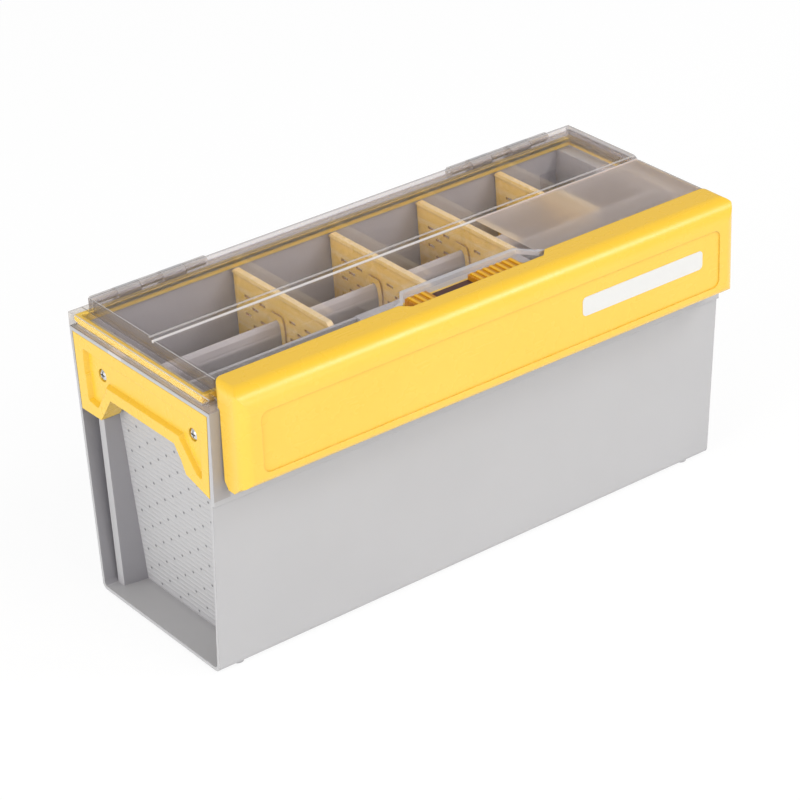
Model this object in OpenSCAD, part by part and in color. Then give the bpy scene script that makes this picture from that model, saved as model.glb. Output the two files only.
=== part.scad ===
// Long, deep portable tackle bin: moulded grey bin with recessed ends, clear hinged lid,
// full-length front latch, arched handle plates on both ends, and slotted dividers that
// straddle a rail inside. X runs along the bin, -Y is the latch side, Z is up. The origin
// is at the centre of the overall footprint, on the plane that the feet stand on.

/* [Bin] */
// Length over the outer skins
bin_l = 400; // [380:1:430]
// Width over the collar at the rim
collar_w = 148; // [144:0.5:154]
// Width over the skins at the base
base_w = 128; // [122:0.5:134]
// Height of the rim above the base
bin_h = 182.5; // [160:0.5:200]
// Thickness of the skins, floor and end walls
wall_t = 2.3; // [2:0.1:2.6]
// Depth of the collar, from the rim down
collar_h = 62.5; // [58:0.5:66]
// How far the foot of the collar stands proud of the front skin
collar_proud = 1.9; // [1.2:0.1:2.1]
// How far the end wall is set back from the skins' ends, at the floor
end_base = 25.6; // [22:0.2:29]
// How far the end wall is set back at the rim
end_top = 12; // [11:0.2:13.5]
// Outer radius along the base
base_r = 4.5; // [3:0.5:6]
// Height of the feet
foot_h = 1.5; // [1:0.1:3]
// Diameter of the feet
foot_d = 8; // [6:0.5:10]
// Width of the front ledge that the seal sits on
ledge_w = 16; // [13:0.5:18]
// Distance of the end post from the middle of the end
post_y = 54.5; // [50:0.5:56]

/* [Rail and dividers] */
// Height of the rail's crest above the base
rail_h = 164.3; // [120:0.1:168]
// Width of the rail under its crest
rail_w = 7.8; // [6:0.1:9]
// Distance of the rail from the middle, towards the hinge
rail_y = 24.4; // [20:0.1:28]
// Distance of the inner front wall from the middle, at the rim
inner_y = 32; // [30:0.5:33.5]
// Positions of the dividers along the bin
divider_x = [-80.8, -5.2, 65.5, 131.7];
// Thickness of a divider
divider_t = 1.8; // [1.4:0.1:2.2]
// Width of the thick edge on top of a divider
divider_rim = 4.2; // [3:0.1:5]

/* [Lid] */
// Height of the lid's flange
flange_h = 9.1; // [8.6:0.1:11]
// Height of the raised window over the flange
window_h = 9; // [7:0.1:11]
// Drop from the rear half of the window to the front half
window_step = 2; // [1:0.1:2.5]
// Thickness of the lid's walls
lid_t = 2; // [1.6:0.1:2.2]
// Width of the finger notch
notch_w = 106; // [90:1:116]
// Depth of the finger notch
notch_d = 11.3; // [8:0.1:12.5]
// Outer radius of the hinge knuckles
knuckle_r = 4.5; // [4:0.1:4.8]
// Radius of all the hinge pins
pin_r = 1.5; // [1.2:0.1:1.7]
// Length of one hinge knuckle with its gap
knuckle_l = 16.7; // [14:0.1:18]
// Width of the seal
seal_w = 3.2; // [2.6:0.1:3.8]

/* [Latch] */
// Distance of the latch's ends from the skins' ends
latch_in = 7; // [6.5:0.5:12]
// Depth of the latch in front of the rim
latch_d = 21; // [19:0.5:24]
// Thickness of the latch's walls
latch_t = 2.4; // [2:0.1:2.8]
// Radius of the long top edge
latch_r = 13; // [10:0.5:13]
// Height of the latch's pivot below the rim
latch_drop = 46; // [44:0.5:50]
// Radius of the upright corners
corner_r = 8; // [6:0.5:9]
// Radius of the top edge at both ends
end_r = 5; // [4:0.5:6]
// Distance of the front panel from the latch's ends
panel_in = 14.5; // [12:0.5:20]
// Length of the label
label_l = 100; // [70:1:110]
// Height of the label
label_h = 13; // [10:0.5:16]

/* [Handles] */
// Height of the handle plate, from the rim to the legs' feet
handle_h = 54.7; // [50:0.1:58]
// Height of the arch under the rim
arch_drop = 35.9; // [34:0.1:38]
// Depth of the grip along the arch, into the end recess
grip_d = 13.5; // [11:0.5:15]
// Thickness of the plate at its border
plate_t = 5.2; // [5:0.1:6]
// Depth of the plate's sunk panel
sunk_d = 3; // [2:0.1:3.2]
// Radius of the screw heads
head_r = 3.7; // [3.2:0.1:4]

/* [Hidden] */
$fn = 48;
eps = 0.01;
big = 1000;
end_x = bin_l/2;
rim_y = collar_w/2;
collar_z = bin_h - collar_h;
run_gap = 0.05;           // radial clearance of a pin or screw in its hole
seat_gap = 0.5;           // gap round the handle plates
side_gap = 0.4;           // gap between neighbouring knuckles
seal_gap = 0.4;           // gap between the seal and the lid's walls

// Lid hinge axis and latch pivot, before placing
lid_ay = rim_y + 3;
lid_az = bin_h + 7.5;
latch_ay = -(rim_y + 7.5);
latch_az = bin_h - latch_drop;
latch_l = bin_l - 2*latch_in;
latch_front = rim_y + latch_d;
latch_top = bin_h + flange_h + window_h - 0.1;
latch_back = rim_y - 7;              // where the latch's top skin ends
hinge_back = lid_ay + knuckle_r;
mid_shift = (latch_front - hinge_back)/2;

// Lid levels
lid_z0 = bin_h + 0.4;
lid_z1 = lid_z0 + flange_h;
lid_top = lid_z1 + window_h;
lid_front = latch_back - 0.7;        // front edge of the lid between the latch's ends
window_x = end_x - 9.5;
window_back = rim_y - 9;
tab_x = latch_l/2 + 1.2;             // inner side of the lid's front corner tabs
notch_flat = notch_w/2 - 9;
notch_y = lid_front - notch_d;
seal_x = end_x - lid_t - seal_gap;   // outer face of the seal at the ends

// Half widths of the skins and end walls at height z
function skin_y(z) = base_w/2 + (rim_y - base_w/2)*z/bin_h;
function wall_x(z) = end_x - end_base + (end_base - end_top)*z/bin_h;
function plate_y(z) = skin_y(z) - wall_t - seat_gap;
function flip(pts) = [for (p = pts) [-p[0], p[1]]];
function turned(pts) = [for (i = [len(pts)-1:-1:0]) pts[i]];
// A closed outline from one half of a shape that is the same on both sides of x = 0
function both(pts) = concat(pts, turned(flip(pts)));

module placed() { translate([0, mid_shift, foot_h]) children(); }
// Profiles drawn as (y, z) and as (x, z)
module along_x(l) { rotate([90, 0, 90]) linear_extrude(l, center = true) children(); }
module along_y(l) { rotate([90, 0, 0]) linear_extrude(l, center = true) children(); }
module slab(z0, z1) { translate([0, 0, z0]) linear_extrude(z1 - z0) children(); }
module rod(x0, x1, r) { translate([x0, 0, 0]) rotate([0, 90, 0]) cylinder(h = x1 - x0, r = r); }
module at_lid_axis() { translate([0, lid_ay, lid_az]) children(); }
module at_latch_axis() { translate([0, latch_ay, latch_az]) children(); }

// ---- Bin ----

// Cross profile of the skins: rounded base, drafted sides, front collar
module skin_profile(inset) {
    r = base_r - inset/2;
    slope = (rim_y - base_w/2)/bin_h;
    cy = base_w/2 - inset + slope*(r + inset) - r*sqrt(1 + slope*slope);
    a = atan(slope);
    difference() {
        union() {
            polygon([[-cy, inset], [cy, inset],
                     [cy + r*cos(a), inset + r - r*sin(a)],
                     [skin_y(bin_h + 20) - inset, bin_h + 20],
                     [-(skin_y(bin_h + 20) - inset), bin_h + 20],
                     [-(cy + r*cos(a)), inset + r - r*sin(a)]]);
            for (s = [-1, 1]) translate([s*cy, inset + r]) circle(r = r);
        }
        translate([-big/2, bin_h + 10]) square(big);
    }
}

module bin_outline() {
    intersection() {
        union() {
            skin_profile(0);
            polygon([[0, collar_z], [-(skin_y(collar_z) + collar_proud), collar_z],
                     [-rim_y, bin_h], [0, bin_h]]);
        }
        translate([-big/2, -eps]) square([big, bin_h + eps]);
    }
}

// Side profile of the space between the end walls
module end_profile(inset) {
    polygon([[-(wall_x(0) - inset), 0], [wall_x(0) - inset, 0],
             [wall_x(bin_h) - inset, bin_h], [-(wall_x(bin_h) - inset), bin_h]]);
}

module skins() {
    along_x(bin_l) difference() {
        bin_outline();
        skin_profile(wall_t);
    }
}

module end_walls() {
    intersection() {
        along_y(big) difference() {
            end_profile(0);
            end_profile(wall_t);
        }
        along_x(bin_l) bin_outline();
    }
}

// Flat rim over the end recesses and behind the collar, with the shelf under the notch
shelf_x = notch_w/2 + 11;
module rim() {
    open_x = wall_x(bin_h) - wall_t;
    intersection() {
        slab(bin_h - wall_t, bin_h) difference() {
            square([bin_l, 3*rim_y], center = true);
            difference() {
                translate([-open_x, -(rim_y - ledge_w)]) square([2*open_x, 2*rim_y - ledge_w - wall_t]);
                translate([-shelf_x, -rim_y]) square([2*shelf_x, rim_y - inner_y]);
            }
        }
        along_x(bin_l) bin_outline();
    }
}

// Low rib on the rim that the gasket presses on
module seal_rib() {
    ex = seal_x - (seal_w - 1.2)/2;
    fy = lid_front - lid_t - seal_gap - (seal_w - 1.2)/2;
    ny = notch_y - lid_t - 2.2;
    outer = [[ex, window_back + 5.6], [ex, -fy], [notch_w/2 + 0.3, -fy], [notch_flat + 0.2, -ny]];
    inner = [[ex - 1.2, window_back + 4.4], [ex - 1.2, -fy + 1.2], [notch_w/2 - 0.3, -fy + 1.2],
             [notch_flat - 0.4, -ny + 1.2]];
    slab(bin_h - eps, bin_h + 1) polygon(concat(both(outer), turned(both(inner))));
}

// Rail that the dividers straddle, folded up from the floor and open underneath
function rail_pts(grow, z0) = [
    for (p = [[rail_w/2 + 1.6, z0], [rail_w/2, rail_h - 9.3], [rail_w/2 - 0.5, rail_h - 6],
              [rail_w/2 - 1.5, rail_h - 2.6], [0.9, rail_h - 0.4]])
        [max(p[0] + grow, 0.3), p[1] + (p[1] > z0 ? grow : 0)]];
module rail_profile(grow, z0) { translate([rail_y, 0]) polygon(both(rail_pts(grow, z0))); }

module rail() {
    intersection() {
        along_x(bin_l) rail_profile(0, wall_t/2);
        along_y(big) end_profile(wall_t/2);
    }
}

module rail_core() {
    along_x(2*(wall_x(0) - wall_t - 3)) rail_profile(-1.9, -1);
}

// Inner front wall, between the compartments and the front trough
function inner_face(z) = -(inner_y - 2.6*(1 - z/bin_h));
module inner_wall() {
    intersection() {
        along_x(bin_l) polygon([[inner_face(0), wall_t/2], [inner_face(bin_h), bin_h - 0.5],
            [inner_face(bin_h) - 2.2, bin_h - 0.5], [inner_face(0) - 3.4, wall_t/2]]);
        along_y(big) end_profile(wall_t/2);
    }
}

// Upright post in each end recess, its tip slanted in the way of the end wall
module end_post() {
    top_z = bin_h - wall_t/2;
    foot_z = bin_h - handle_h - 1;
    tip_x = end_x - plate_t - seat_gap;
    intersection() {
        slab(wall_t/2, top_z) polygon([[wall_x(0) - 1, post_y - 3.9], [wall_x(0), post_y - 3.9],
            [end_x, post_y], [end_x, post_y + 4.5], [wall_x(0) - 1, post_y + 8]]);
        along_y(big) polygon([[wall_x(0) - 1, 0], [tip_x - 3.3, 0], [tip_x, foot_z],
            [tip_x, bin_h], [wall_x(bin_h) - 1, bin_h]]);
    }
}

// Handle screws: positions as (y, z) in the end
screw_z = bin_h - 24;
screw_ys = [45.5, -50.5];
boss_l = 2.5;
shank_r = 1.6;
module screw_bosses() {
    for (y = screw_ys) translate([0, y, screw_z])
        rod(wall_x(screw_z) - 0.6, end_x - plate_t - boss_l, 4.6);
}
module screw_pilots() {
    for (y = screw_ys) translate([0, y, screw_z])
        rod(wall_x(screw_z) - wall_t + 1, end_x, shank_r + run_gap);
}

// Feet, two at each end
module feet() {
    for (s = [-1, 1]) translate([end_x - 18, s*(base_w/2 - 7), -foot_h])
        cylinder(h = foot_h + wall_t/2, d = foot_d);
}

// Lid hinge: five knuckles a group, the second and fourth on the bin
group_x = end_x - 19;
function knuckle_from(i) = group_x - (i + 1)*knuckle_l + side_gap/2;
function knuckle_to(i) = group_x - i*knuckle_l - side_gap/2;
module bin_knuckles() {
    for (i = [1, 3]) {
        at_lid_axis() rod(knuckle_from(i), knuckle_to(i), knuckle_r);
        translate([(knuckle_from(i) + knuckle_to(i))/2, 0, 0])
            along_x(knuckle_to(i) - knuckle_from(i))
            polygon([[rim_y - 1, bin_h - 16], [lid_ay + knuckle_r, bin_h - 5],
                     [lid_ay + knuckle_r, lid_az], [lid_ay - knuckle_r, lid_az],
                     [lid_ay - knuckle_r, bin_h - eps], [rim_y - 1, bin_h - eps]]);
    }
}

// Latch hinge stations: an ear on the collar between two ribs of the latch
station_x = [for (s = [-1, 0, 1]) s*(latch_l/2 - 43)];
ear_r = 3.6;
ear_l = 8;
rib_l = 4;
module latch_ears() {
    for (x = station_x) translate([x, 0, 0]) {
        at_latch_axis() rod(-ear_l/2, ear_l/2, ear_r);
        along_x(ear_l) polygon([[latch_ay, latch_az - ear_r], [latch_ay, latch_az + ear_r],
            [-(rim_y - 3), latch_az + ear_r + 5], [-(rim_y - 3), latch_az - ear_r]]);
    }
}

module bin() {
    color("#c4c3c4") placed() difference() {
        union() {
            skins();
            end_walls();
            rim();
            seal_rib();
            rail();
            inner_wall();
            latch_ears();
            for (s = [0, 1]) mirror([s, 0, 0]) {
                end_post();
                screw_bosses();
                feet();
                bin_knuckles();
            }
        }
        rail_core();
        for (s = [0, 1]) mirror([s, 0, 0]) {
            screw_pilots();
            at_lid_axis() rod(group_x - 5*knuckle_l, group_x, pin_r);
        }
        for (x = station_x) translate([x, 0, 0]) at_latch_axis() rod(-ear_l, ear_l, pin_r);
    }
}

// ---- Lid ----

lid_half = [[end_x, rim_y], [end_x, -rim_y], [tab_x, -rim_y], [tab_x, -lid_front],
            [notch_w/2, -lid_front], [notch_flat, -notch_y]];
void_half = [[end_x - lid_t, rim_y - lid_t], [end_x - lid_t, -(lid_front - lid_t)],
             [notch_w/2 + 1, -(lid_front - lid_t)], [notch_flat + 1, -(notch_y - lid_t - 0.3)]];
notch_half = [[notch_w/2 + 20, -big/4], [notch_w/2, -lid_front], [notch_flat, -notch_y]];

// Profile of the window across the lid, lower in front of the step
module window_profile(inset, z0) {
    polygon([[-(lid_front - inset), z0], [-(lid_front - inset), lid_top - window_step - inset],
             [-4.4 + inset/2, lid_top - window_step - inset], [-1.2 + inset/2, lid_top - inset],
             [window_back - inset, lid_top - inset], [window_back - inset, z0]]);
}

module lid_shell() {
    difference() {
        union() {
            slab(lid_z0, lid_z1) polygon(both(lid_half));
            along_x(2*window_x) window_profile(0, lid_z1 - eps);
        }
        slab(-eps, big) polygon(both(notch_half));
        // Channel under the flange, and the open side of the corner tabs
        slab(0, lid_z1 - lid_t) polygon(both(void_half));
        for (s = [-1, 1]) translate([s*(tab_x + end_x - lid_t - 1)/2, -(rim_y + lid_front)/2 + lid_t, 0])
            translate([-(end_x - lid_t - tab_x + 1)/2, -(rim_y - lid_front)/2, 0])
            cube([end_x - lid_t - tab_x + 1, rim_y - lid_front, lid_z1 - lid_t]);
        // Space under the window, less the wall round the notch
        difference() {
            along_x(2*(window_x - lid_t)) window_profile(lid_t, 0);
            slab(-eps, big) polygon(both([[notch_w/2 + 2.3, -lid_front - 1],
                [notch_w/2 + 2.3, -lid_front], [notch_flat + 1, -(notch_y - lid_t - 0.3)]]));
        }
    }
}

// Rib that holds the seal against the flange, at the ends and the rear
module channel_wall() {
    x = seal_x - seal_w - seal_gap;
    back = rim_y - lid_t - 2*seal_gap - seal_w;
    front = lid_front - lid_t - 4.8;      // stops behind the seal's front run
    slab(bin_h + 2, lid_z1 - eps) difference() {
        translate([-x, -front]) square([2*x, back + front]);
        translate([-(x - 1.4), -front - 1]) square([2*(x - 1.4), back + front - 0.4]);
    }
}

// Bead along the edge of the finger notch
module notch_bead() {
    slab(lid_top - window_step - 1, lid_top - window_step + 0.8)
        polygon(concat(both([[notch_w/2, -lid_front], [notch_flat, -notch_y]]),
                       turned(both([[notch_w/2 + 4.4, -lid_front], [notch_flat + 1.9, -notch_y + 3.5]]))));
}

module lid() {
    color("#dfe6e8", 0.35) placed() difference() {
        union() {
            lid_shell();
            channel_wall();
            notch_bead();
            for (s = [0, 1]) mirror([s, 0, 0]) for (i = [0, 2, 4]) {
                at_lid_axis() rod(knuckle_from(i), knuckle_to(i), knuckle_r);
                translate([knuckle_from(i), rim_y - lid_t - eps, lid_az - 3])
                    cube([knuckle_to(i) - knuckle_from(i), 5, lid_z1 - lid_az + 3]);
            }
        }
        for (s = [0, 1]) mirror([s, 0, 0]) {
            for (i = [1, 3]) translate([knuckle_from(i) - side_gap, rim_y - lid_t - 0.1, 0])
                cube([knuckle_to(i) - knuckle_from(i) + 2*side_gap, 30, big]);
            at_lid_axis() rod(group_x - 5*knuckle_l, group_x, pin_r + run_gap);
        }
    }
}

module gasket() {
    gy = lid_front - lid_t - seal_gap;
    ny = notch_y - lid_t - seal_gap - 0.3;
    tab = rim_y - lid_t - seal_gap;
    in_x = seal_x - seal_w;
    outer = [[seal_x, tab], [seal_x, -tab], [in_x, -tab], [in_x, -gy], [notch_w/2 + 1.3, -gy],
             [notch_flat + 1.2, -ny]];
    inner = [[in_x, tab - seal_w], [in_x, -gy + seal_w],
             [notch_w/2 - 0.3, -gy + seal_w], [notch_flat - 0.4, -ny + seal_w]];
    color("#f6cf2e") placed() slab(bin_h + 1.3, lid_z1 - lid_t) difference() {
        polygon(both(outer));
        polygon(both(inner));
    }
}

module lid_pin() {
    color("#b9bcc0") placed() at_lid_axis()
        rod(group_x - 5*knuckle_l + 0.6, group_x - 0.6, pin_r);
}
module lid_pin_left() { mirror([1, 0, 0]) lid_pin(); }
module lid_pin_right() { lid_pin(); }

// ---- Latch ----

latch_cz = latch_top - latch_r;
low_z = latch_az - 4.9;              // underside at the pivot
// Cross profile of the bar as (y, z); inset gives the hollow
module latch_profile(inset) {
    difference() {
        union() {
            polygon([[-(rim_y + 0.4), low_z + 5 + inset], [-(rim_y + 4), low_z + inset],
                     [-(rim_y + 10), low_z + inset], [-(latch_front - 5), low_z + 5.4 + inset],
                     [-(latch_front - inset), low_z + 10.4],
                     [-(latch_front - inset), latch_cz],
                     [-(latch_front - latch_r), latch_top - inset],
                     [-latch_back + 1, latch_top - inset], [-latch_back + 1, bin_h + 2],
                     [-(rim_y + 0.4), bin_h + 1]]);
            translate([-(latch_front - 5), low_z + 10.4 - 0.2]) circle(r = 5 - inset/2);
            translate([-(latch_front - latch_r), latch_cz]) intersection() {
                circle(r = latch_r - inset);
                translate([-latch_r, -eps]) square(latch_r + eps);
            }
        }
        translate([-(latch_front - inset) - big, 0]) square(big);
    }
}

// Plan of the bar, its rear corners rounded to pass the lid's corners
module latch_plan(inset) {
    hx = latch_l/2 - inset;
    r = corner_r - inset;
    back = latch_back + corner_r;
    front = latch_front - corner_r;
    polygon(both([[hx - r, -(latch_back - inset)], [hx - r, -back], [hx, -back], [hx, -front],
                  [hx - r, -(front + r)]]));
    for (s = [-1, 1], y = [back, front]) translate([s*(hx - r), -y]) circle(r = r);
}

// Both ends of the bar as (x, z), rounded along the top
module latch_ends(inset) {
    hx = latch_l/2 - inset;
    z = latch_top - inset;
    r = end_r - inset;
    polygon(both([[hx, 0], [hx, z - r], [hx - r, z]]));
    for (s = [-1, 1]) translate([s*(hx - r), z - r]) circle(r = r);
}

// Rounded rectangle on the latch's front face, as (x, z)
module front_panel(x0, x1, z0, z1, r) {
    for (x = [x0 + r, x1 - r], z = [z0 + r, z1 - r]) translate([x, z]) circle(r = r);
    translate([x0, z0 + r]) square([x1 - x0, z1 - z0 - 2*r]);
    translate([x0 + r, z0]) square([x1 - x0 - 2*r, z1 - z0]);
}
panel_x = latch_l/2 - panel_in;
label_in = 14.5;          // from the panel's end to the label
panel_z0 = low_z + 12.8;
panel_z1 = latch_cz - 3;
panel_d = 0.8;

// Ribbed finger pad that shows through the notch
pad_z = bin_h + 3.5;
module finger_pad() {
    back = notch_y + 4;
    pad_l = notch_flat - 9;
    translate([9, -(latch_front - latch_t/2), pad_z]) cube([pad_l, latch_front - latch_t/2 - back, 2.4]);
    for (x = [9 : 5 : 9 + pad_l - 2.2])
        translate([x, -(latch_back + 12), pad_z]) cube([2.2, latch_back + 12 - back, 5.4]);
}

module latch_ribs() {
    for (x = station_x, s = [-1, 1]) translate([x + s*(ear_l/2 + side_gap + rib_l/2), 0, 0]) {
        at_latch_axis() rod(-rib_l/2, rib_l/2, ear_r);
        along_x(rib_l) polygon([[latch_ay, latch_az - ear_r], [latch_ay + 2, latch_az + 3.6],
            [-(latch_front - latch_t/2), latch_az + 22], [-(latch_front - latch_t/2), latch_az + 3],
            [-(latch_front - 6), latch_az]]);
    }
}

module latch() {
    color("#fdd64e") placed() difference() {
        union() {
            difference() {
                intersection() {
                    along_x(latch_l) latch_profile(0);
                    slab(0, big) latch_plan(0);
                    along_y(big) latch_ends(0);
                }
                // Hollow, open towards the bin
                intersection() {
                    along_x(latch_l) union() {
                        latch_profile(latch_t);
                        polygon([[-(latch_front - latch_r) - 1, latch_top - latch_t],
                                 [-latch_back + 2, latch_top - latch_t], [-latch_back + 2, 0],
                                 [-(rim_y + 6), 0], [-(rim_y + 10), low_z + latch_t]]);
                    }
                    slab(0, big) latch_plan(latch_t);
                    along_y(big) latch_ends(latch_t);
                }
                // Finger cut-out in the back edge
                slab(latch_cz, big) polygon(both([[notch_w/2 + 7, -latch_back + 1],
                    [notch_w/2 + 4, -latch_back], [notch_w/2 - 2, -latch_back - 6]]));
                // Slots for the ears of the bin
                for (x = station_x) translate([x - ear_l/2 - side_gap, latch_ay - ear_r - 1, 0])
                    cube([ear_l + 2*side_gap, big, latch_az + ear_r + 2]);
                // Shallow bordered panel
                translate([0, -latch_front, 0]) along_y(2*panel_d)
                    front_panel(-panel_x, panel_x, panel_z0, panel_z1, 5);
            }
            for (s = [0, 1]) mirror([s, 0, 0]) finger_pad();
            latch_ribs();
        }
        for (x = station_x) translate([x, 0, 0]) at_latch_axis()
            rod(-ear_l/2 - side_gap - rib_l - 1, ear_l/2 + side_gap + rib_l + 1, pin_r + run_gap);
    }
}

module latch_pin(x) {
    color("#b9bcc0") placed() translate([x, 0, 0]) at_latch_axis()
        rod(-ear_l/2 - side_gap - rib_l, ear_l/2 + side_gap + rib_l, pin_r);
}
module latch_pin_left() { latch_pin(station_x[0]); }
module latch_pin_middle() { latch_pin(station_x[1]); }
module latch_pin_right() { latch_pin(station_x[2]); }

module latch_label() {
    mid_z = (panel_z0 + panel_z1)/2 + 3.6;
    color("white") placed() translate([0, -(latch_front - panel_d) - 0.15, 0]) along_y(0.3)
        front_panel(panel_x - label_in - label_l, panel_x - label_in, mid_z - label_h/2, mid_z + label_h/2, 3);
}

// ---- Handles ----

foot_z = bin_h - handle_h;
arch_z = bin_h - arch_drop;
plate_z1 = bin_h - wall_t - 0.2;
// Edge of the arch, from the rear leg's foot to the front leg's foot, and its inner side
arch_edge = [[46.6, foot_z + 0.4], [34, arch_z], [-33.7, arch_z], [-40.2, arch_z - 8.5],
             [-44.4, foot_z + 2.4]];
arch_back = [[49.2, foot_z + 0.4], [35.3, arch_z + 2.2], [-34.9, arch_z + 2.2],
             [-42.2, arch_z - 7.3], [-46.9, foot_z + 2]];

module plate_outline() {
    polygon(concat([[plate_y(plate_z1), plate_z1], [plate_y(foot_z), foot_z]], arch_edge,
                   [[-plate_y(foot_z - 3.8), foot_z - 3.8], [-plate_y(plate_z1), plate_z1]]));
}
// Sunk panel with sloping sides, in three overlapping parts: over the arch and down both legs
panel_top = plate_z1 - 8.2;
sunk_parts = [
    [[61.2, panel_top], [-62.2, panel_top], [-62.2, arch_z + 7.4], [61.2, arch_z + 7.4]],
    [[61.2, panel_top], [59.6, foot_z + 9.2], [49.2, foot_z + 7.6], [38, arch_z + 5], [34, panel_top]],
    [[-62.2, panel_top], [-61.4, foot_z + 5.6], [-55.4, foot_z + 7.6], [-40, arch_z + 5],
     [-34, panel_top]]];
module sunk_panel() {
    for (pts = sunk_parts) hull() {
        translate([end_x, 0, 0]) along_x(eps) offset(r = 1.5) offset(delta = -1.5) polygon(pts);
        translate([end_x - sunk_d, 0, 0]) along_x(eps) offset(delta = -1.6) polygon(pts);
    }
}

// The plate of the right-hand end
module handle_plate() {
    color("#fcd450") placed() difference() {
        union() {
            translate([end_x - plate_t/2, 0, 0]) along_x(plate_t) plate_outline();
            translate([end_x - grip_d/2, 0, 0]) along_x(grip_d)
                polygon(concat(arch_edge, turned(arch_back)));
            for (y = screw_ys) translate([0, y, screw_z])
                rod(end_x - plate_t - boss_l, end_x - plate_t + 1, 6.2);
        }
        sunk_panel();
        for (y = screw_ys) translate([0, y, screw_z]) {
            rod(end_x - plate_t, end_x + 1, head_r + 0.5);
            rod(end_x - 20, end_x + 1, shank_r + 0.3);
        }
    }
}
module handle_left() { mirror([1, 0, 0]) handle_plate(); }
module handle_right() { handle_plate(); }

// Cross-head screw: pan head with a cross recess and a plain shank
module handle_screw(s, y) {
    color("#c9ccd0") placed() mirror([s, 0, 0]) translate([end_x - plate_t, y, screw_z])
        difference() {
            union() {
                rod(0, 1.3, head_r);
                translate([1.3, 0, 0]) rotate([0, 90, 0]) cylinder(h = 0.8, r1 = head_r, r2 = 0.6*head_r);
                rod(-9.3, 0.5, shank_r);
            }
            for (a = [0, 90]) rotate([a, 0, 0]) translate([0.7, -2.2, -0.45]) cube([3, 4.4, 0.9]);
        }
}
module handle_screw_1() { handle_screw(1, screw_ys[0]); }
module handle_screw_2() { handle_screw(1, screw_ys[1]); }
module handle_screw_3() { handle_screw(0, screw_ys[0]); }
module handle_screw_4() { handle_screw(0, screw_ys[1]); }

// ---- Dividers ----

div_top = bin_h + 1;
function div_back(z) = skin_y(z) - wall_t - 1.1;
function div_front(z) = inner_face(z) + 0.9;
module divider_profile() {
    polygon([[div_back(div_top) - 2.6, div_top], [div_back(div_top - 2.4), div_top - 2.4],
             [div_back(base_r), base_r + wall_t/2], [div_back(0) - base_r, wall_t],
             [div_front(0), wall_t], [div_front(div_top), div_top - 2.4],
             [div_front(div_top) + 2.6, div_top]]);
}

// Vent slots in a checkerboard over the upper third, clear of the rail's slot and the edges
vent_l = 6.4;
vent_h = 1.9;
vent_dy = 7.9;
vent_dz = 6.2;
module vents() {
    for (col = [-7 : 6], row = [0 : 8]) {
        y = rail_y - vent_dy/2 + vent_dy*(col + 0.5);
        z = bin_h - 14.5 - vent_dz*row;
        clear_y = rail_w/2 + 4.4 + vent_l/2 + (rail_h - z)/100;
        if ((col + row) % 2 == 0 && (abs(y - rail_y) > clear_y || z > rail_h + 6)
            && y + vent_l/2 < div_back(z) - 4 && y - vent_l/2 > div_front(z) + 4)
            translate([-5, y - vent_l/2, z - vent_h/2]) cube([10, vent_l, vent_h]);
    }
}

module divider(x) {
    color("#f3c65c") placed() translate([x, 0, 0]) difference() {
        union() {
            along_x(divider_t) divider_profile();
            // Thick edge along the top
            along_x(divider_rim) intersection() {
                divider_profile();
                translate([-big/2, div_top - 2.6]) square([big, 2.6]);
            }
            // Border round the slot for the rail
            along_x(divider_t + 1.8) intersection() {
                divider_profile();
                rail_profile(4.3, wall_t);
            }
        }
        along_x(20) rail_profile(0.5, -1);
        vents();
    }
}
module divider_1() { divider(divider_x[0]); }
module divider_2() { divider(divider_x[1]); }
module divider_3() { divider(divider_x[2]); }
module divider_4() { divider(divider_x[3]); }

bin();
lid();
gasket();
lid_pin_left();
lid_pin_right();
latch();
latch_pin_left();
latch_pin_middle();
latch_pin_right();
latch_label();
handle_left();
handle_right();
handle_screw_1();
handle_screw_2();
handle_screw_3();
handle_screw_4();
divider_1();
divider_2();
divider_3();
divider_4();
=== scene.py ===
import math
import bmesh
import bpy
from mathutils import Matrix, Vector


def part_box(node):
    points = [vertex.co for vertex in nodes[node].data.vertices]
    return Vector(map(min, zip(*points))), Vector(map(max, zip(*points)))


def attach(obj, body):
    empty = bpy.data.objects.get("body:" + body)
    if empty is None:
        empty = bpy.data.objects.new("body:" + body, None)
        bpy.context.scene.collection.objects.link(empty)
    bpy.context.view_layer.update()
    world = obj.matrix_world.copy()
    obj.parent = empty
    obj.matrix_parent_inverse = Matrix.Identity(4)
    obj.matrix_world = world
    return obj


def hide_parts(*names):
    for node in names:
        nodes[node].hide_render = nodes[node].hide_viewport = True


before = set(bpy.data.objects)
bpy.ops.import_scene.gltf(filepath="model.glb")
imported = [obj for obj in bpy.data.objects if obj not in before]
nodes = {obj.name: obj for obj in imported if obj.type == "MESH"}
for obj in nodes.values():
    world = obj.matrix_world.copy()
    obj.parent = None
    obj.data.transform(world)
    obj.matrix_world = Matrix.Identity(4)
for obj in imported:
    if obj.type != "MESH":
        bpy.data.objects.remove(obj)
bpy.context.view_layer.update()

# ---- Studio ----
# A seamless white table under soft light: one large softbox before the long side, one beside
# the near end, a small one above that draws the highlight on the latch, and a white surround.

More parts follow.
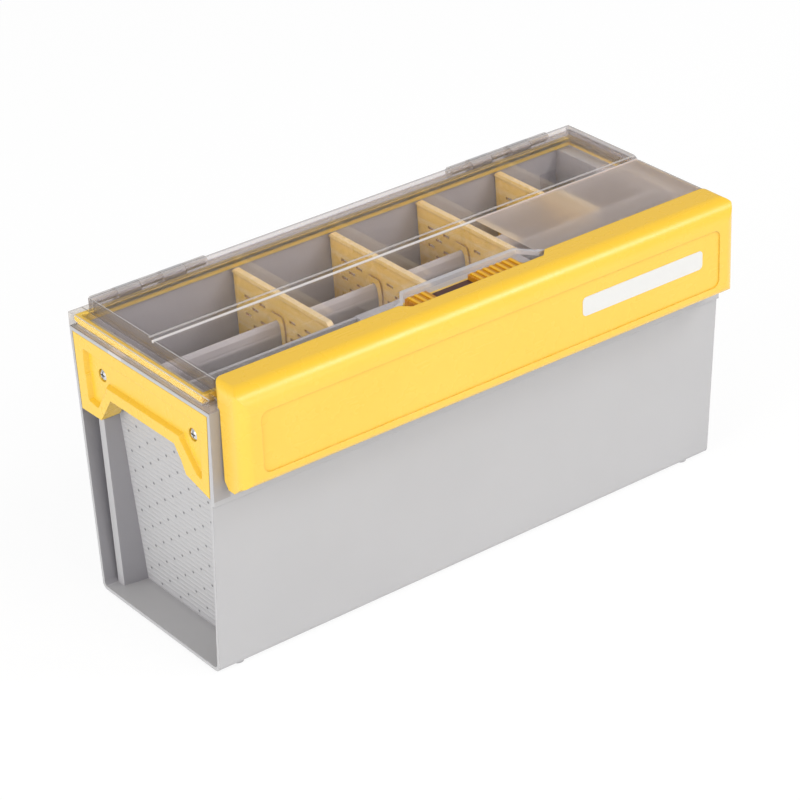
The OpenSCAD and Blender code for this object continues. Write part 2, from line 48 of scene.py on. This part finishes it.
view_az, view_el, view_roll = math.radians(-36.92), math.radians(28.97), math.radians(-2.297)
lens_back = Vector((math.sin(view_az)*math.cos(view_el), -math.cos(view_az)*math.cos(view_el),
                    math.sin(view_el)))
level_right = (-lens_back).cross(Vector((0, 0, 1))).normalized()
level_up = level_right.cross(-lens_back)
lens_right = math.cos(view_roll)*level_right + math.sin(view_roll)*level_up
lens_up = math.cos(view_roll)*level_up - math.sin(view_roll)*level_right
focal_px, picture_px, sensor_mm = 2930.5, 800, 36
camera_at = (-0.98773, -1.29693, 0.99511)
camera = bpy.data.objects.new("camera", bpy.data.cameras.new("camera"))
camera.data.lens = focal_px*sensor_mm/picture_px
camera.data.sensor_width = sensor_mm
camera.data.clip_end = 50
camera.matrix_world = Matrix.Translation(camera_at) @ Matrix((
    (lens_right.x, lens_up.x, lens_back.x, 0), (lens_right.y, lens_up.y, lens_back.y, 0),
    (lens_right.z, lens_up.z, lens_back.z, 0), (0, 0, 0, 1)))
bpy.context.collection.objects.link(camera)
bpy.context.scene.camera = camera
bpy.context.scene.view_settings.view_transform = "Standard"


lamp_distance, aim_at = 3, Vector((0, 0, 0.1))


def softbox(name, azimuth, elevation, size, watts):
    azimuth, elevation = math.radians(azimuth), math.radians(elevation)
    away = Vector((math.sin(azimuth)*math.cos(elevation), -math.cos(azimuth)*math.cos(elevation),
                   math.sin(elevation)))
    lamp = bpy.data.objects.new(name, bpy.data.lights.new(name, "AREA"))
    lamp.data.shape = "SQUARE"
    lamp.data.size = size
    lamp.data.energy = watts
    lamp.matrix_world = Matrix.Translation(away*lamp_distance + aim_at) \
        @ away.to_track_quat("Z", "Y").to_matrix().to_4x4()
    bpy.context.collection.objects.link(lamp)


softbox("softbox_front", 8, 26, 1.8, 34)
softbox("softbox_end", -82, 18, 1.6, 46)
softbox("softbox_above", 47, 44, 0.8, 18)


class Value:
    """A socket of a finish, so that shader maths reads as Python."""

    def __init__(self, finish, socket):
        self.finish, self.socket = finish, socket

    def maths(self, operation, *others):
        return self.finish.node("ShaderNodeMath", {"operation": operation},
                                dict(enumerate((self,) + others)))

    def __add__(self, other):
        return self.maths("ADD", other)

    def __sub__(self, other):
        return self.maths("SUBTRACT", other)

    def __rsub__(self, other):
        return (self*-1) + other

    def __mul__(self, other):
        return self.maths("MULTIPLY", other)

    def __truediv__(self, other):
        return self.maths("DIVIDE", other)

    def __gt__(self, other):
        return self.maths("GREATER_THAN", other)

    def __lt__(self, other):
        return self.maths("LESS_THAN", other)

    def __abs__(self):
        return self.maths("ABSOLUTE")

    def __mod__(self, other):
        return self.maths("FLOORED_MODULO", other)

    __radd__, __rmul__ = __add__, __mul__


class Finish:
    """A node material with one Principled shader, read in Object coordinates."""

    def __init__(self, name, **constants):
        self.material = bpy.data.materials.new(name)
        self.material.use_nodes = True
        self.tree = self.material.node_tree
        self.shader = self.tree.nodes["Principled BSDF"]
        for socket, value in constants.items():
            self.shader.inputs[socket.replace("_", " ")].default_value = value
        self.place = self.node("ShaderNodeTexCoord", out="Object")

    def node(self, kind, settings=None, inputs=None, out=0):
        made = self.tree.nodes.new(kind)
        for name, value in (settings or {}).items():
            setattr(made, name, value)
        for name, value in (inputs or {}).items():
            self.join(value, made.inputs[name])
        return Value(self, made.outputs[out])

    def join(self, value, socket):
        if isinstance(value, Value):
            self.tree.links.new(value.socket, socket)
        else:
            socket.default_value = value

    def feed(self, **values):
        for socket, value in values.items():
            self.join(value, self.shader.inputs[socket.replace("_", " ")])

    def noise(self, scale, detail=2.0, roughness=0.5, at=None):
        return self.node("ShaderNodeTexNoise", None, {"Vector": at or self.place, "Scale": scale,
                         "Detail": detail, "Roughness": roughness})

    def mix(self, mask, first, second):
        return self.node("ShaderNodeMixShader", None, {0: mask, 1: first, 2: second})

    def surface(self, shader):
        self.join(shader, self.tree.nodes["Material Output"].inputs["Surface"])

    def blend(self, mask, low, high):
        return self.node("ShaderNodeMix", {"data_type": "RGBA"},
                         {0: mask, 6: low, 7: high}, out=2)

    def ramp(self, value, low, high):
        return self.node("ShaderNodeMapRange", {"clamp": True},
                         {"Value": value, "From Min": low, "From Max": high})

    def axes(self, vector):
        first = self.node("ShaderNodeSeparateXYZ", None, {"Vector": vector})
        return [Value(self, socket) for socket in first.socket.node.outputs]

    def streaks(self, x, y, z):
        return self.node("ShaderNodeVectorMath", {"operation": "MULTIPLY"},
                         {0: self.place, 1: (x, y, z)})

    def open_face(self, reach):
        """1 on open faces, falling towards 0 in corners and slots closer than reach."""
        return self.node("ShaderNodeAmbientOcclusion", {"samples": 4, "only_local": True},
                         {"Distance": reach}, out=1)

    def worn_edge(self, radius):
        """1 along the sharp edges, 0 on flat faces."""
        rounded = self.node("ShaderNodeBevel", {"samples": 4}, {"Radius": radius})
        flat = self.node("ShaderNodeNewGeometry", out=1)
        along = self.node("ShaderNodeVectorMath", {"operation": "DOT_PRODUCT"},
                          {0: rounded, 1: flat}, out=1)
        return self.ramp(along, 0.995, 0.8)

    def relief(self, height, distance, strength=1.0, edge=0.0):
        inputs = {"Height": height, "Distance": distance, "Strength": strength}
        if edge:
            inputs["Normal"] = self.node("ShaderNodeBevel", {"samples": 4}, {"Radius": edge})
        self.feed(Normal=self.node("ShaderNodeBump", None, inputs))

    def cover(self, *names):
        for name in names:
            piece = nodes[name] if isinstance(name, str) else name
            if not piece.material_slots:
                piece.data.materials.append(None)
            for slot in piece.material_slots:
                slot.material = self.material


table = bpy.data.objects.new("table", bpy.data.meshes.new("table"))
mesh = bmesh.new()
bmesh.ops.create_grid(mesh, x_segments=1, y_segments=1, size=12)
mesh.to_mesh(table.data)
mesh.free()
bpy.context.collection.objects.link(table)
paper = Finish("paper", Base_Color=(0.9, 0.9, 0.9, 1), Roughness=0.9)
ray = paper.node("ShaderNodeLightPath")
seen = (ray + Value(paper, ray.socket.node.outputs["Is Glossy Ray"])
        + Value(paper, ray.socket.node.outputs["Is Transmission Ray"])).maths("MINIMUM", 1.0)*0.85
glow = paper.node("ShaderNodeEmission", None, {"Color": (1, 1, 1, 1), "Strength": 1.04})
paper.surface(paper.mix(seen, Value(paper, paper.shader.outputs[0]), glow))
paper.cover(table)

world = bpy.data.worlds.new("surround")
bpy.context.scene.world = world
world.use_nodes = True
sky = world.node_tree
path = sky.nodes.new("ShaderNodeLightPath")
strength = sky.nodes.new("ShaderNodeMapRange")
strength.inputs["To Min"].default_value = 0.5
strength.inputs["To Max"].default_value = 1.0
seen = sky.nodes.new("ShaderNodeMath")
seen.operation = "MAXIMUM"
sky.links.new(path.outputs["Is Camera Ray"], seen.inputs[0])
sky.links.new(path.outputs["Is Transmission Ray"], seen.inputs[1])
sky.links.new(seen.outputs[0], strength.inputs["Value"])
sky.links.new(strength.outputs[0], sky.nodes["Background"].inputs["Strength"])
sky.nodes["Background"].inputs["Color"].default_value = (1, 1, 1, 1)

# ---- Bin ----
# One deep injection moulding in light grey polypropylene with a satin, faintly grained skin.
# Its recessed ends are covered outside with a staggered pattern of low bars and small pits,
# with painted highlights on the bars and painted shade in the pits. Painted shade darkens its
# corners, inner walls, the post's side, the rim's edge at the ends and the collar beside the
# latch, which also takes a painted reflection of the latch; a painted highlight lightens the rail's
# crest.

bin_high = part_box("bin")[1]
pit_pitch, row_pitch, row_shift, bar_pitch = 0.0205, 0.0073, 0.0038, 0.00365
end_wall_foot, end_wall_lean = 0.1737, 0.083
rail_y, rail_half, crest_foot = 0.0312, 0.007, 0.1563
collar_side, collar_foot, rim_h = 0.1885, 0.125, 0.0118
grey = Finish("grey_moulding", Specular_IOR_Level=0.4)
bin_x, bin_y, bin_z = grey.axes(grey.place)
facing_x, facing_y, facing_z = grey.axes(grey.node("ShaderNodeNewGeometry", out=1))
outward = facing_x*bin_x.maths("SIGN")
row = (bin_z + row_shift)/row_pitch
along = (bin_y/pit_pitch + (row.maths("FLOOR") % 2)*0.5) % 1.0
off_pit = grey.node("ShaderNodeCombineXYZ", None, {0: (along - 0.5)*pit_pitch*1000,
                                                   1: (row % 1.0 - 0.55)*row_pitch*1000})
off_pit = grey.node("ShaderNodeVectorMath", {"operation": "LENGTH"}, {0: off_pit}, out=1)
end_face = (outward > 0.9)*(abs(bin_x) > 0.1746)*(abs(bin_x) < 0.1895)
end_face = end_face*(abs(bin_y - 0.0067) < 0.08)
pits = grey.ramp(off_pit, 1.15, 0.6)*end_face
bars = grey.ramp(abs((bin_z/bar_pitch) % 1.0 - 0.5)*bar_pitch*1000, 0.85, 0.35)
bars = bars*grey.ramp(abs(along - 0.5)*pit_pitch*1000, 1.2, 1.9)*end_face
# painted shade: the grey turns darker in corners and creases, where shade falls
corner_shade = grey.ramp(grey.open_face(0.010), 0.1, 0.75)
# painted shade: the bin's inner walls darker, as they lie in shade under the lid
inner_wall_shade = (abs(bin_x) < bin_z*end_wall_lean + end_wall_foot)*(outward < 0.3)
inner_wall_shade = inner_wall_shade*(facing_y*bin_y < 0.015)*(facing_z < 0.4)*(bin_z > 0.01)
# painted highlight: the rail's crest lighter, where light catches it
crest_highlight = (abs(bin_y - rail_y) < rail_half)*grey.ramp(bin_z, crest_foot, crest_foot + 0.002)
# painted shade and painted reflection of the yellow latch on the collar beside it
latch_shade_reflection = (abs(bin_x) > collar_side)*(facing_y < -0.5)*(bin_z > collar_foot)
# painted shade: the post's side in the recessed end, behind the front skin
post_side_shade = (abs(bin_x) > 0.17)*(bin_y > 0.03)*(facing_y < -0.5)*(bin_z < 0.17)
# painted shade: the rim's edge at each end, in the lid's shade
rim_edge_shade = (bin_z > bin_high.z - rim_h)*(abs(bin_x) > bin_high.x - 0.0002)
grey_tone = grey.blend(grey.noise(9, 3), (0.485, 0.48, 0.487, 1), (0.535, 0.53, 0.537, 1))
grey_tone = grey.blend(corner_shade, (0.36, 0.345, 0.365, 1), grey_tone)
grey_tone = grey.blend(inner_wall_shade*0.55, grey_tone, (0.34, 0.315, 0.33, 1))
grey_tone = grey.blend(crest_highlight*0.6, grey_tone, (0.74, 0.70, 0.705, 1))
grey_tone = grey.blend(latch_shade_reflection*0.5, grey_tone, (0.31, 0.27, 0.25, 1))
grey_tone = grey.blend(post_side_shade*0.6, grey_tone, (0.26, 0.25, 0.28, 1))
grey_tone = grey.blend(rim_edge_shade*0.6, grey_tone, (0.25, 0.21, 0.225, 1))
# painted highlight on the end pattern's bars and painted shade in its pits; the relief below gives their
# shape
grey_tone = grey.blend(bars*0.4, grey_tone, (0.62, 0.615, 0.62, 1))
grey_tone = grey.blend(pits*0.85, grey_tone, (0.13, 0.13, 0.14, 1))
rubbed = grey.worn_edge(0.0006)*grey.ramp(grey.noise(55, 4), 0.35, 0.7)
grey_tone = grey.blend(rubbed*0.5, grey_tone, (0.66, 0.655, 0.66, 1))
scuffs = grey.ramp(grey.noise(120, 4, 0.6, grey.streaks(1, 1, 0.12)), 0.62, 0.72)
grey.feed(Base_Color=grey_tone, Roughness=grey.noise(40, 3)*0.16 + scuffs*0.08 + 0.34)
grey.relief(grey.noise(2600, 2)*0.12 + bars - pits*1.3, 0.0005, 0.7, edge=0.0006)
grey.cover("bin")

# ---- Lid ----
# Clear polycarbonate moulding: a flange over the rim, a raised window in two levels and a
# notch for the fingers with a bead round it. The front right of the window is frosted.
# Painted highlights and painted dark lines run along its edges, painted shade marks its walls
# seen edge-on, a painted highlight its bead, and the frost carries a painted view of the dividers
# beneath it.

lid_low, lid_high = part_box("lid")
window_end = lid_high.x - 0.0095
window_rear = lid_high.y - 0.0165
level_drop, wall_t, knuckle_run = 0.002, 0.002, 0.0085
window_top, flange_top = lid_high.z, lid_high.z - 0.009
front_top = window_top - level_drop
step_foot, step_edge = 0.00235, 0.00555
notch_flat, notch_end, notch_rear, notch_depth = 0.044, 0.053, -0.04825, 0.0113
haze, frost_haze, rear_haze = 0.12, 0.75, 0.09
clear = Finish("clear_moulding", Base_Color=(0.96, 0.95, 0.95, 1), IOR=1.3,
               Transmission_Weight=1.0, Coat_Weight=0.3, Coat_IOR=1.5, Coat_Roughness=0.03)
lid_x, lid_y, lid_z = clear.axes(clear.place)
reach_x = abs(lid_x)


def edge_line(first, at_first, second, at_second, radius):
    """1 along the edge where two coordinates have these values, 0 past the radius."""
    squares = (first - at_first).maths("POWER", 2) + (second - at_second).maths("POWER", 2)
    return clear.ramp(squares.maths("SQRT"), radius, radius*0.6)


def strongest(values):
    most = values[0]
    for value in values[1:]:
        most = most.maths("MAXIMUM", value)
    return most


def passing(colour):
    return clear.node("ShaderNodeBsdfTransparent", None, {"Color": colour})


def between(value, low, high):
    return (value > low)*(value < high)


rear_half = lid_y > (step_foot + step_edge)/2
within = reach_x < window_end + 0.0002
end_top = front_top + rear_half*level_drop
# painted highlights: whitish lines along the lid's edges and steps, and a lighter knuckle run
painted_highlights = strongest([
    (lid_y > lid_high.y - knuckle_run)*0.5,
    edge_line(lid_y, step_foot, lid_z, front_top, 0.0014)*within*0.85,
    edge_line(lid_y, step_edge, lid_z, window_top, 0.0011)*within*0.6,
    edge_line(reach_x, window_end - 0.001, lid_z, end_top, 0.0006)*0.6,
    edge_line(lid_y, window_rear - 0.0012, lid_z, window_top, 0.0007)*within*0.6,
    edge_line(reach_x, lid_high.x - 0.0006, lid_z, flange_top, 0.0007)*0.75])
# painted shade: thin dark lines along the window's and flange's edges
painted_dark_lines = strongest([
    edge_line(reach_x, window_end, lid_z, end_top, 0.0006)*0.6,
    edge_line(reach_x, window_end - wall_t, lid_z, end_top - wall_t, 0.0006)*0.6,
    edge_line(reach_x, window_end, lid_z, flange_top, 0.0007)*0.6,
    edge_line(reach_x, window_end, lid_z, flange_top + 0.003, 0.0004)*0.6,
    edge_line(reach_x, window_end - 0.001, lid_z, flange_top + 0.005, 0.0006)*0.4,
    edge_line(reach_x, lid_high.x, lid_z, lid_low.z, 0.0006)*0.55,
    edge_line(lid_y, window_rear, lid_z, window_top, 0.0007)*within*0.4,
    edge_line(lid_y, window_rear, lid_z, flange_top, 0.0006)*within*0.4])
above_flange = between(lid_z, flange_top, window_top - 0.0003)
# painted shade: the window's end and rear walls, seen edge-on, take a share of the dark line tone
end_wall = between(reach_x, window_end - wall_t - 0.0001, window_end + 0.0001)*above_flange
rear_wall = between(lid_y, window_rear - wall_t - 0.0001, window_rear + 0.0001)*above_flange
bead_back = lid_y - notch_rear + clear.ramp(reach_x, notch_flat, notch_end)*notch_depth
bead = clear.ramp(bead_back, 0.0042, 0.0032)*(reach_x < notch_end + 0.0045)
bead = bead*(lid_z > front_top - wall_t)
frost = between(lid_z, front_top - 0.0004, front_top + 0.0004)*(1 - rear_half)
frost = frost*clear.ramp(lid_x, notch_end, notch_end + 0.0005)*(lid_x < window_end - 0.001)
clear.feed(Roughness=frost*0.42 + 0.02)
rear_edge = lid_y > window_rear + 0.0003
through = clear.mix(rear_edge, passing((0.97, 0.955, 0.965, 1)), passing((0.988, 0.985, 0.982, 1)))
sheet = clear.mix(frost*frost_haze - rear_edge*rear_haze + haze, through,
                  Value(clear, clear.shader.outputs[0]))
# tone of the painted lines: dark brown where no painted highlight falls, whitish where one does
painted_line_tone = clear.blend(painted_highlights, (0.2, 0.17, 0.15, 1), (0.85, 0.82, 0.81, 1))
# painted highlight: the bead round the notch turns whitish grey
painted_line_tone = clear.blend(bead, painted_line_tone, (0.62, 0.6, 0.63, 1))
# painted view: the frost takes the beige of the yellow dividers seen blurred through it
painted_line_tone = clear.blend(frost, painted_line_tone, (0.62, 0.50, 0.44, 1))
# a whitish diffuse shader that carries the painted highlights, dark lines and tones
edge = clear.node("ShaderNodeBsdfPrincipled", None,
                  {"Base Color": painted_line_tone, "Roughness": 0.2})
painted_share = strongest([painted_highlights, painted_dark_lines, end_wall*0.42, rear_wall*0.1, bead*0.75, frost*0.42])
shadow_ray = clear.node("ShaderNodeLightPath", out="Is Shadow Ray")
clear.surface(clear.mix(shadow_ray, clear.mix(painted_share, sheet, edge), passing((0.97, 0.96, 0.955, 1))))
clear.cover("lid")

# ---- Gasket ----
# A soft yellow lip seal pressed into the channel under the lid's flange: a rounded body
# with a thin lip that reaches down to the rib on the rim.

seal_low, seal_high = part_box("gasket")
seal_w, body_h, corner_shift = 0.0032, 0.0038, 0.0016
front_y, notch_y = 0.00675 - 0.0639, 0.00675 - 0.0523
mouth_x, floor_x = 0.0543, 0.0452
outer_half = [(seal_high.x, seal_high.y), (seal_high.x, front_y), (mouth_x, front_y),
              (floor_x, notch_y)]
inner_half = [(seal_high.x - seal_w, seal_high.y - seal_w),
              (seal_high.x - seal_w, front_y + seal_w),
              (mouth_x - corner_shift, front_y + seal_w),
              (floor_x - corner_shift, notch_y + seal_w)]


def seal_run(mesh, from_outer, from_inner, low, high, bevel):
    """A closed run of the seal between two shares of its width."""
    loops = []
    for share in (from_outer, from_inner):
        half = [(a[0]*(1 - share) + b[0]*share, a[1]*(1 - share) + b[1]*share)
                for a, b in zip(outer_half, inner_half)]
        points = half + [(-x, y) for x, y in reversed(half)]
        verts = [mesh.verts.new((x, y, low)) for x, y in points]
        loops += [mesh.edges.new((verts[i - 1], verts[i])) for i in range(len(verts))]
    faces = bmesh.ops.bridge_loops(mesh, edges=loops)["faces"]
    grown = bmesh.ops.extrude_face_region(mesh, geom=faces)["geom"]
    tops = [v for v in grown if isinstance(v, bmesh.types.BMVert)]
    bmesh.ops.translate(mesh, verts=tops, vec=(0, 0, high - low))
    rims = {e for v in tops for e in v.link_edges if e.calc_face_angle(0) > 1}
    bmesh.ops.bevel(mesh, geom=list(rims), offset=bevel, segments=2, profile=0.5,
                    affect="EDGES", material=-1)


def finished(name, mesh):
    bmesh.ops.recalc_face_normals(mesh, faces=mesh.faces)
    piece = bpy.data.objects.new(name, bpy.data.meshes.new(name))
    mesh.to_mesh(piece.data)
    mesh.free()
    bpy.context.collection.objects.link(piece)
    return piece


mesh = bmesh.new()
seal_run(mesh, 0.0, 1.0, seal_high.z - body_h, seal_high.z, 0.0005)
seal_run(mesh, 0.45, 0.8, seal_low.z, seal_high.z - body_h + 0.0002, 0.0001)
lip_seal = finished("lip_seal", mesh)
seal = Finish("yellow_seal", Roughness=0.5)
seal.feed(Base_Color=seal.blend(seal.noise(60, 3), (0.95, 0.62, 0.08, 1), (0.98, 0.70, 0.13, 1)))
seal.relief(seal.noise(1800, 2), 0.0002, 0.3)
seal.cover(lip_seal)
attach(lip_seal, "lid")
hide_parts("gasket")

# ---- Hinge pins ----
# Drawn steel wire, pushed through the knuckles and ears; its drawing marks run along it.

wire = Finish("drawn_wire", Metallic=1.0)
drawn = wire.noise(900, 3, 0.6, wire.streaks(0.03, 1, 1))
wire.feed(Base_Color=wire.blend(drawn, (0.66, 0.66, 0.67, 1), (0.84, 0.84, 0.84, 1)),
          Roughness=drawn*0.2 + 0.2)
wire.relief(drawn, 0.0001, 0.4)
wire.cover("lid_pin_left", "lid_pin_right",
           "latch_pin_left", "latch_pin_middle", "latch_pin_right")

# ---- Latch ----
# A hollow yellow bar moulded in one piece, satin on its face, with painted shade in its
# corners and a painted tone on faces turned up. Two ribbed grips for the fingers fill the notch
# in the lid; their amber is painted shade, darker between the ribs, and the dark brown block
# between them is a sheet of painted shade.


def yellow_moulding(name, open_tone, pale_tone, crease_shade_tone, painted_top_tone, reach, edge):
    """Satin yellow polypropylene: clouded, with painted shade in amber in its corners and a painted tone
    on faces turned up, paler on its worn edges.
    """
    finish = Finish(name, Specular_IOR_Level=0.45, Coat_Weight=0.35, Coat_IOR=1.5,
                    Coat_Roughness=0.26)
    tone = finish.blend(finish.noise(12, 3), open_tone, pale_tone)
    facing_up = finish.axes(finish.node("ShaderNodeNewGeometry", out=1))[2]
    # painted tone: faces turned up take another tone, for how the light falls on them
    tone = finish.blend(finish.ramp(facing_up, 0.3, 0.95)*0.8, tone, painted_top_tone)
    # painted shade: amber in corners and creases, where shade falls
    tone = finish.blend(finish.ramp(finish.open_face(reach), 0.3, 0.9), crease_shade_tone, tone)
    rubbed = finish.worn_edge(edge)*finish.ramp(finish.noise(70, 4), 0.3, 0.7)
    tone = finish.blend(rubbed*0.45, tone, (1.0, 0.74, 0.2, 1))
    scratches = finish.ramp(finish.noise(160, 4, 0.6, finish.streaks(0.15, 1, 1)), 0.6, 0.72)
    finish.feed(Base_Color=tone, Roughness=finish.noise(45, 3)*0.14 + scratches*0.07 + 0.2)
    finish.relief(finish.noise(2600, 2) + scratches*0.2, 0.0002, 0.2, edge=edge)
    finish.tone = tone
    return finish


latch = yellow_moulding("latch_yellow", (0.90, 0.565, 0.055, 1), (0.95, 0.62, 0.085, 1),
                        (0.84, 0.44, 0.008, 1), (0.97, 0.585, 0.018, 1), 0.006, 0.0008)
latch.cover("latch")

grip_spans = ((-0.044, -0.0275), (0.0046, 0.0395))
grip_rear, grip_front, grip_foot, grip_face = -0.0492, -0.084, 0.1927, 0.1982
rib_pitch, rib_w, rib_h = 0.005, 0.0022, 0.0008
recess_depth, recess_lap = 0.0035, 0.001


def block(mesh, low, high, bevel):
    made = bmesh.ops.create_cube(mesh, size=1)["verts"]
    size = Vector(high) - Vector(low)
    bmesh.ops.scale(mesh, verts=made, vec=size)
    bmesh.ops.translate(mesh, verts=made, vec=(Vector(low) + Vector(high))/2)
    edges = list({e for v in made for e in v.link_edges})
    bmesh.ops.bevel(mesh, geom=edges, offset=bevel, segments=2, profile=0.5,
                    affect="EDGES", material=-1)


mesh = bmesh.new()
for x0, x1 in grip_spans:
    block(mesh, (x0, grip_front, grip_foot), (x1, grip_rear, grip_face), 0.0006)
    for i in range(int((x1 - x0 - 0.002)/rib_pitch + 0.6)):
        x = x0 + 0.0012 + i*rib_pitch
        block(mesh, (x, grip_front + 0.002, grip_face - 0.0006),
              (x + rib_w, grip_rear - 0.001, grip_face + rib_h), 0.0003)
grips = finished("latch_grips", mesh)
shaded_grip = Finish("grip_painted_shade", Specular_IOR_Level=0.5)
# painted shade: the grips' amber is the yellow in shade, darker still between the ribs
raised = shaded_grip.ramp(shaded_grip.axes(shaded_grip.place)[2], grip_face - 0.0002, grip_face + rib_h)
shaded_grip.feed(Base_Color=shaded_grip.blend(raised, (0.52, 0.2, 0.004, 1), (0.86, 0.46, 0.012, 1)),
           Roughness=shaded_grip.noise(200, 3)*0.2 + 0.2)
shaded_grip.relief(shaded_grip.noise(1500, 2), 0.0002, 0.3)
shaded_grip.cover(grips)
# a dark brown block sunk between the grips: a sheet of painted shade for the dark gap there
mesh = bmesh.new()
block(mesh, (grip_spans[0][1] - recess_lap, grip_front, grip_foot),
      (grip_spans[1][0] + recess_lap, grip_rear, grip_face - recess_depth), 0.0005)
gap_shade_block = finished("grip_gap_shade", mesh)
gap_shade_finish = Finish("gap_painted_shade", Specular_IOR_Level=0.3)
gap_shade_finish.feed(Base_Color=gap_shade_finish.blend(gap_shade_finish.noise(300, 3), (0.075, 0.035, 0.03, 1), (0.13, 0.065, 0.055, 1)),
           Roughness=gap_shade_finish.noise(90, 3)*0.2 + 0.55)
gap_shade_finish.relief(gap_shade_finish.noise(1200, 3), 0.0003, 0.5)
gap_shade_finish.cover(gap_shade_block)
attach(gap_shade_block, "latch")
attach(grips, "latch")

# ---- Label ----
# A blank strip of white film stuck to the latch, a little clouded by handling.

film = Finish("white_film")
film.feed(Base_Color=film.blend(film.noise(35, 4), (0.73, 0.725, 0.705, 1), (0.78, 0.775, 0.755, 1)),
          Roughness=film.noise(90, 3)*0.2 + 0.25)
film.relief(film.noise(700, 3), 0.0001, 0.25, edge=0.0002)
film.cover("latch_label")

# ---- Handles ----
# Arched yellow plates, each held by two cross-head screws with a bright zinc plating.

# yellow_moulding gives the handles painted shade in their corners and a painted tone on faces turned up
handle = yellow_moulding("handle_yellow", (0.86, 0.545, 0.035, 1), (0.92, 0.60, 0.055, 1),
                         (0.86, 0.50, 0.008, 1), (0.95, 0.58, 0.02, 1), 0.004, 0.0008)
handle.cover("handle_left", "handle_right")

zinc = Finish("zinc_plate", Metallic=1.0)
bloom = zinc.noise(700, 4, 0.6)
zinc_tone = zinc.blend(bloom, (0.66, 0.66, 0.67, 1), (0.8, 0.8, 0.8, 1))
# painted shade: near black in the screws' cross slots
screw_slot_shade = zinc.ramp(zinc.open_face(0.0015), 0.2, 0.9)
zinc.feed(Base_Color=zinc.blend(screw_slot_shade, (0.12, 0.11, 0.1, 1), zinc_tone),
          Roughness=bloom*0.2 + 0.18)
zinc.relief(bloom, 0.0001, 0.3, edge=0.0002)
zinc.cover("handle_screw_1", "handle_screw_2", "handle_screw_3", "handle_screw_4")

# ---- Dividers ----
# Thin yellow panels with vent slots, dropped over the rail. Light streaks along the top edge are
# painted highlights on fine ridges, painted shade darkens the slots, and their corners and tops
# carry painted shade and a painted tone.

panel = yellow_moulding("divider_yellow", (0.96, 0.62, 0.13, 1), (1.0, 0.68, 0.17, 1),
                        (0.5, 0.22, 0.02, 1), (1.0, 0.78, 0.42, 1), 0.003, 0.0005)
streak_foot = 0.147
# painted highlights: light streaks along the upper part of each panel, for fine ridges there
streak_highlight = panel.ramp(panel.noise(1, 3, 0.6, panel.streaks(1, 6, 170)), 0.45, 0.62)
streak_highlight = streak_highlight*(panel.axes(panel.place)[2] > streak_foot)
panel_tone = panel.blend(streak_highlight*0.4, panel.tone, (1.0, 0.84, 0.5, 1))
# painted shade: the vent slots darkened
slot_shade = panel.ramp(panel.open_face(0.0035), 0.55, 0.9)
panel.feed(Base_Color=panel.blend(slot_shade, (0.36, 0.16, 0.03, 1), panel_tone))
panel.cover("divider_1", "divider_2", "divider_3", "divider_4")
